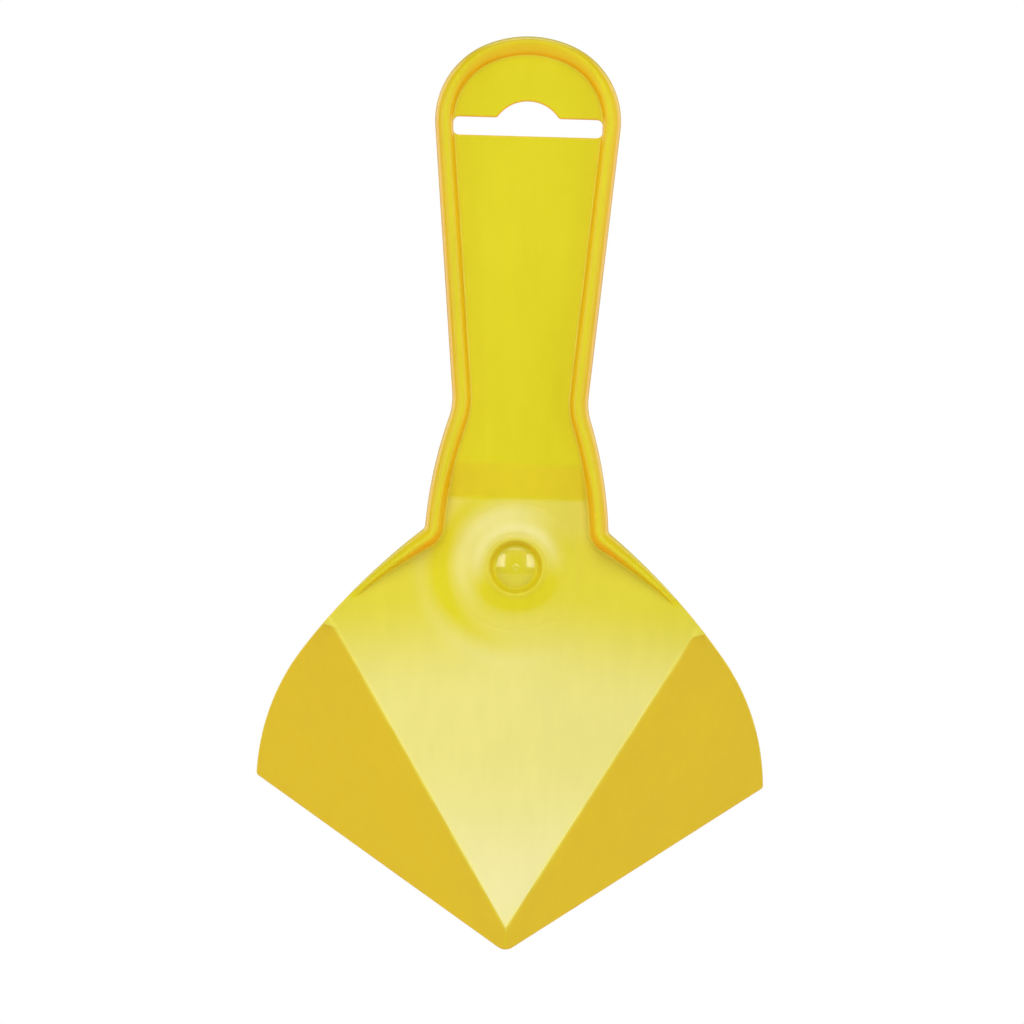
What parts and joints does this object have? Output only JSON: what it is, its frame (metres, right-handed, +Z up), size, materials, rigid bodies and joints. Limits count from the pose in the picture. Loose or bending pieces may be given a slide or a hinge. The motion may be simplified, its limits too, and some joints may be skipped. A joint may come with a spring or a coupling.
{
  "type": "corner tool",
  "caption": "One-piece moulded plastic inside-corner tool: ribbed handle with hang slot, flat blade panel running to the tip between folded-back wings.",
  "frame": {"origin": "middle of the hang slot's bar, halfway through the web", "axes": "+Z up the tool from the tip to the head, +X across it to the right as seen from the front, -Y out of the front face, which is the side the wings fold away from"},
  "size_m": [0.11, 0.0399, 0.1961],
  "materials": {
    "yellow_plastic": "glossy, self-coloured, slightly translucent"
  },
  "bodies": {
    "root": {"head_web": "yellow_plastic", "handle_web": "yellow_plastic", "neck_ramp": "yellow_plastic", "blade_panel": "yellow_plastic", "gate_boss": "yellow_plastic", "left_wing": "yellow_plastic", "right_wing": "yellow_plastic", "head_rim": "yellow_plastic", "left_handle_rim": "yellow_plastic", "right_handle_rim": "yellow_plastic", "left_neck_rim": "yellow_plastic", "right_neck_rim": "yellow_plastic", "left_shoulder_rib": "yellow_plastic", "right_shoulder_rib": "yellow_plastic"}
  },
  "joints": []
}
